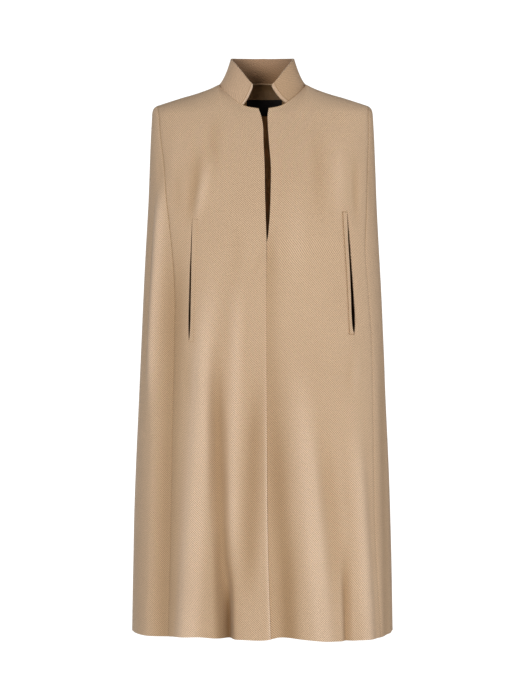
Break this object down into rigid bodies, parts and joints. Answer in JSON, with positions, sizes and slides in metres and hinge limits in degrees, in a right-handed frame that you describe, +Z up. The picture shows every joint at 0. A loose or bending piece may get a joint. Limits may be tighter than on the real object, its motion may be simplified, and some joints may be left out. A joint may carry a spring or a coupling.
{
  "type": "wool cape",
  "caption": "Long sleeveless wool cape in its worn form, with a standing collar, padded shoulders, side panels, slanted arm slits and a lapped front.",
  "frame": {"origin": "the middle of the neck at the height where the shoulders begin, where a wearer's or a stand's shoulders carry the garment", "axes": "+Z up along the body, +Y to the wearer's back, +X to the wearer's left"},
  "size_m": [0.4969, 0.3288, 1.0971],
  "materials": {
    "camel_wool": "brushed twill, soft nap, matt",
    "camel_wool_collar": "brushed twill, interlined, matt",
    "brown_lining": "smooth lining, low sheen",
    "black_tape": "plain woven tape"
  },
  "bodies": {
    "root": {"front_right_panel": "camel_wool", "front_left_panel": "camel_wool", "side_right_panel": "camel_wool", "side_left_panel": "camel_wool", "back_panel": "camel_wool", "collar": "camel_wool_collar", "welt_right": "camel_wool_collar", "welt_left": "camel_wool_collar", "back_lining": "brown_lining", "neck_label": "black_tape"}
  },
  "joints": []
}
